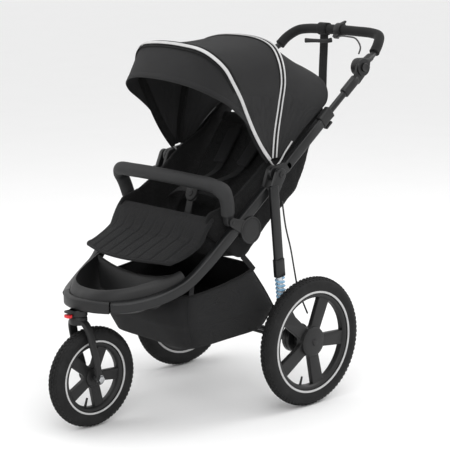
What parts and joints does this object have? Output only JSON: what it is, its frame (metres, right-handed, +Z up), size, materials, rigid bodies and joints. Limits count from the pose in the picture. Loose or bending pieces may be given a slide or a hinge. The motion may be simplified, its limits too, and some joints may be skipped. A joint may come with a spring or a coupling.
{
  "type": "baby stroller",
  "caption": "Folding jogging stroller with a reclining seat, adjustable canopy, swivelling front wheel, sprung rear wheels and a tilting handlebar.",
  "frame": {"origin": "on the ground, at the middle of the stroller's bounding box", "axes": "+Z up, front wheel towards -Y, handlebar towards +Y, +X to the seated child's left"},
  "size_m": [0.6388, 1.2122, 1.1249],
  "materials": {
    "axle_steel": "bright zinc-plated steel",
    "bumper_leatherette": "grained charcoal leatherette",
    "cable_jacket": "black vinyl cable jacket",
    "canopy_cloth": "charcoal woven polyester",
    "frame_black": "satin black powder coat",
    "grip_foam": "closed-cell foam, fine skin texture",
    "lock_red": "red moulded plastic",
    "moulded_black": "fine-grained moulded nylon",
    "piping_reflective": "silver-grey reflective piping",
    "quilted_cloth": "quilted charcoal polyester with sewn channels",
    "seat_cloth": "black woven polyester, soft creases",
    "spring_paint": "pale blue painted spring steel",
    "strap_webbing": "flat woven nylon webbing",
    "tyre_rubber": "black rubber with worn tread blocks"
  },
  "bodies": {
    "front_frame": {"front_tube_left": "frame_black", "front_tube_right": "frame_black", "fold_hinge_left": "moulded_black", "fold_hinge_right": "moulded_black", "side_hub_left": "moulded_black", "side_hub_right": "moulded_black", "seat_cross_tube": "frame_black", "footplate": "moulded_black", "swivel_housing": "moulded_black", "seat_base": "seat_cloth", "seat_side_left": "seat_cloth", "seat_side_right": "seat_cloth", "calf_rest": "quilted_cloth", "harness_buckle": "moulded_black", "basket": "seat_cloth"},
    "swivel_lock": {"swivel_lock": "lock_red"},
    "front_fork": {"front_fork": "moulded_black", "front_axle": "axle_steel"},
    "front_wheel": {"front_tyre": "tyre_rubber", "front_rim": "moulded_black"},
    "upper_frame": {"upper_tube_left": "frame_black", "upper_tube_right": "frame_black", "tube_collar_left": "moulded_black", "tube_collar_right": "moulded_black"},
    "latch_left": {"collar_latch_left": "moulded_black"},
    "latch_right": {"collar_latch_right": "moulded_black"},
    "slide_frame": {"slide_tube_left": "frame_black", "slide_tube_right": "frame_black"},
    "handlebar": {"handle_tube": "frame_black", "upper_knuckle_left": "moulded_black", "upper_knuckle_right": "moulded_black", "foam_grip": "grip_foam", "lever_bracket": "moulded_black", "brake_cable_upper": "cable_jacket", "wrist_strap": "strap_webbing"},
    "button_left": {"knuckle_button_left": "moulded_black"},
    "button_right": {"knuckle_button_right": "moulded_black"},
    "brake_lever": {"brake_lever": "moulded_black"},
    "rear_legs": {"rear_leg_left": "frame_black", "rear_leg_right": "frame_black", "suspension_spring_left": "spring_paint", "suspension_spring_right": "spring_paint", "brake_cable_lower": "cable_jacket"},
    "rear_axle_unit": {"lower_leg_left": "moulded_black", "lower_leg_right": "moulded_black", "rear_axle": "frame_black"},
    "brake_pedal": {"brake_pedal": "moulded_black"},
    "rear_wheel_left": {"rear_tyre_left": "tyre_rubber", "rear_rim_left": "moulded_black", "rear_hub_cap_left": "moulded_black"},
    "rear_wheel_right": {"rear_tyre_right": "tyre_rubber", "rear_rim_right": "moulded_black", "rear_hub_cap_right": "moulded_black"},
    "bumper_bar": {"bumper_bar": "bumper_leatherette"},
    "canopy_mid": {"canopy_bow_mid": "piping_reflective", "canopy_rear_panel": "canopy_cloth"},
    "canopy_front": {"canopy_bow_front": "piping_reflective", "canopy_front_panel": "canopy_cloth", "canopy_visor": "canopy_cloth"},
    "backrest": {"backrest": "seat_cloth"}
  },
  "joints": [
    {"name": "frame_fold", "type": "hinge", "parent": "front_frame", "child": "upper_frame", "pos_m": [0, 0.0531, 0.721], "axis": [-1, 0, 0], "range_deg": [-160, 0]},
    {"name": "leg_fold", "type": "hinge", "parent": "front_frame", "child": "rear_legs", "pos_m": [0, 0.0531, 0.721], "axis": [1, 0, 0], "range_deg": [-25.6, 0]},
    {"name": "bumper_swing", "type": "hinge", "parent": "front_frame", "child": "bumper_bar", "pos_m": [0, -0.1219, 0.597], "axis": [-1, 0, 0], "range_deg": [-70.4, 0]},
    {"name": "handle_length", "type": "slide", "parent": "upper_frame", "child": "slide_frame", "axis": [0, 0.7859, 0.6184], "range_m": [-0.08, 0]},
    {"name": "collar_latch_left_press", "type": "slide", "parent": "upper_frame", "child": "latch_left", "axis": [0, 0.6184, -0.7859], "range_m": [-0.003, 0]},
    {"name": "collar_latch_right_press", "type": "slide", "parent": "upper_frame", "child": "latch_right", "axis": [0, 0.6184, -0.7859], "range_m": [-0.003, 0]},
    {"name": "handle_tilt", "type": "hinge", "parent": "slide_frame", "child": "handlebar", "pos_m": [0, 0.4311, 1.01], "axis": [1, 0, 0], "range_deg": [-35, 20]},
    {"name": "knuckle_button_left_press", "type": "slide", "parent": "slide_frame", "child": "button_left", "axis": [-1, 0, 0], "range_m": [0, 0.004]},
    {"name": "knuckle_button_right_press", "type": "slide", "parent": "slide_frame", "child": "button_right", "axis": [1, 0, 0], "range_m": [0, 0.004]},
    {"name": "brake_lever_squeeze", "type": "hinge", "parent": "handlebar", "child": "brake_lever", "pos_m": [-0.011, 0.5571, 1.07], "axis": [0, 0.7071, -0.7071], "range_deg": [0, 10]},
    {"name": "rear_suspension", "type": "slide", "parent": "rear_legs", "child": "rear_axle_unit", "axis": [0, -0.126, 0.992], "range_m": [0, 0.02], "stiffness_N_per_m": 8000, "deforming": ["suspension_spring_left", "suspension_spring_right"]},
    {"name": "rear_wheel_left_spin", "type": "hinge", "parent": "rear_axle_unit", "child": "rear_wheel_left", "pos_m": [0.2935, 0.1531, 0.2], "axis": [1, 0, 0], "continuous": true},
    {"name": "rear_wheel_right_spin", "type": "hinge", "parent": "rear_axle_unit", "child": "rear_wheel_right", "pos_m": [-0.2935, 0.1531, 0.2], "axis": [1, 0, 0], "continuous": true},
    {"name": "parking_brake", "type": "hinge", "parent": "rear_axle_unit", "child": "brake_pedal", "pos_m": [0, 0.1791, 0.176], "axis": [1, 0, 0], "range_deg": [-15, 0]},
    {"name": "fork_swivel", "type": "hinge", "parent": "front_frame", "child": "front_fork", "pos_m": [0, -0.5019, 0.33], "axis": [0, 0, 1], "continuous": true},
    {"name": "swivel_lock_slide", "type": "slide", "parent": "front_frame", "child": "swivel_lock", "axis": [0, 0, 1], "range_m": [0, 0.004]},
    {"name": "front_wheel_spin", "type": "hinge", "parent": "front_fork", "child": "front_wheel", "pos_m": [0, -0.4569, 0.15], "axis": [1, 0, 0], "continuous": true},
    {"name": "canopy_close", "type": "hinge", "parent": "front_frame", "child": "canopy_mid", "pos_m": [0, 0.0741, 0.73], "axis": [1, 0, 0], "range_deg": [-30, 0], "deforming": ["canopy_rear_panel"]},
    {"name": "canopy_front_close", "type": "hinge", "parent": "canopy_mid", "child": "canopy_front", "pos_m": [0, 0.0741, 0.73], "axis": [1, 0, 0], "range_deg": [-24, 0], "deforming": ["canopy_front_panel"]},
    {"name": "backrest_recline", "type": "hinge", "parent": "front_frame", "child": "backrest", "pos_m": [0, 0.0031, 0.518], "axis": [1, 0, 0], "range_deg": [-20, 0]}
  ],
  "couplings": [
    {"joint": "leg_fold", "follows": "frame_fold", "ratio": 0.16},
    {"joint": "bumper_swing", "follows": "frame_fold", "ratio": 0.44},
    {"joint": "canopy_front_close", "follows": "canopy_close", "ratio": 0.8},
    {"joint": "collar_latch_right_press", "follows": "collar_latch_left_press", "ratio": 1},
    {"joint": "knuckle_button_right_press", "follows": "knuckle_button_left_press", "ratio": 1}
  ]
}
